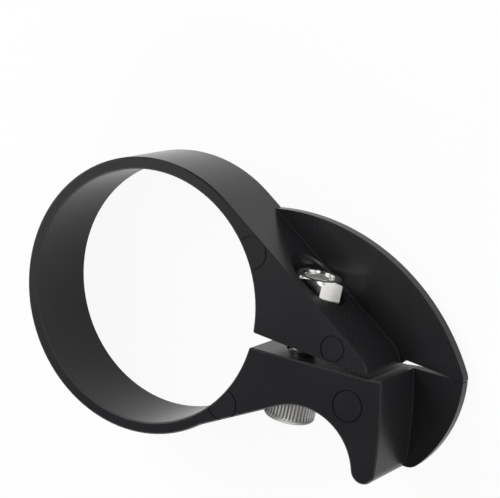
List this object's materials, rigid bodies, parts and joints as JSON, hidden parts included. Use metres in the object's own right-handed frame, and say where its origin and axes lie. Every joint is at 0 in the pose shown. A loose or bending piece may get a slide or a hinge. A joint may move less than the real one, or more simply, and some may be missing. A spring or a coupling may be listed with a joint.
{
  "type": "bicycle chain guide",
  "caption": "Moulded plastic clamp-on bicycle chain guide: a split ring for the seat tube, a curved flat fin and a prong beside the chain, closed by a cap screw and nut.",
  "frame": {"origin": "the clamp bore's axis at the flat back face, which carries the fin", "axes": "+Z along the bore out of the front face, +X from the bore along the slit to the fin's tip, +Y toward the jaw that holds the nut"},
  "size_m": [0.0632, 0.0382, 0.0115],
  "materials": {
    "body_nylon": "satin black, moulded",
    "screw_steel": "bright zinc plate over a knurl",
    "nut_steel": "bright nickel plate"
  },
  "bodies": {
    "root": {"guide_body": "body_nylon", "clamp_screw": "screw_steel", "clamp_nut": "nut_steel"}
  },
  "joints": []
}
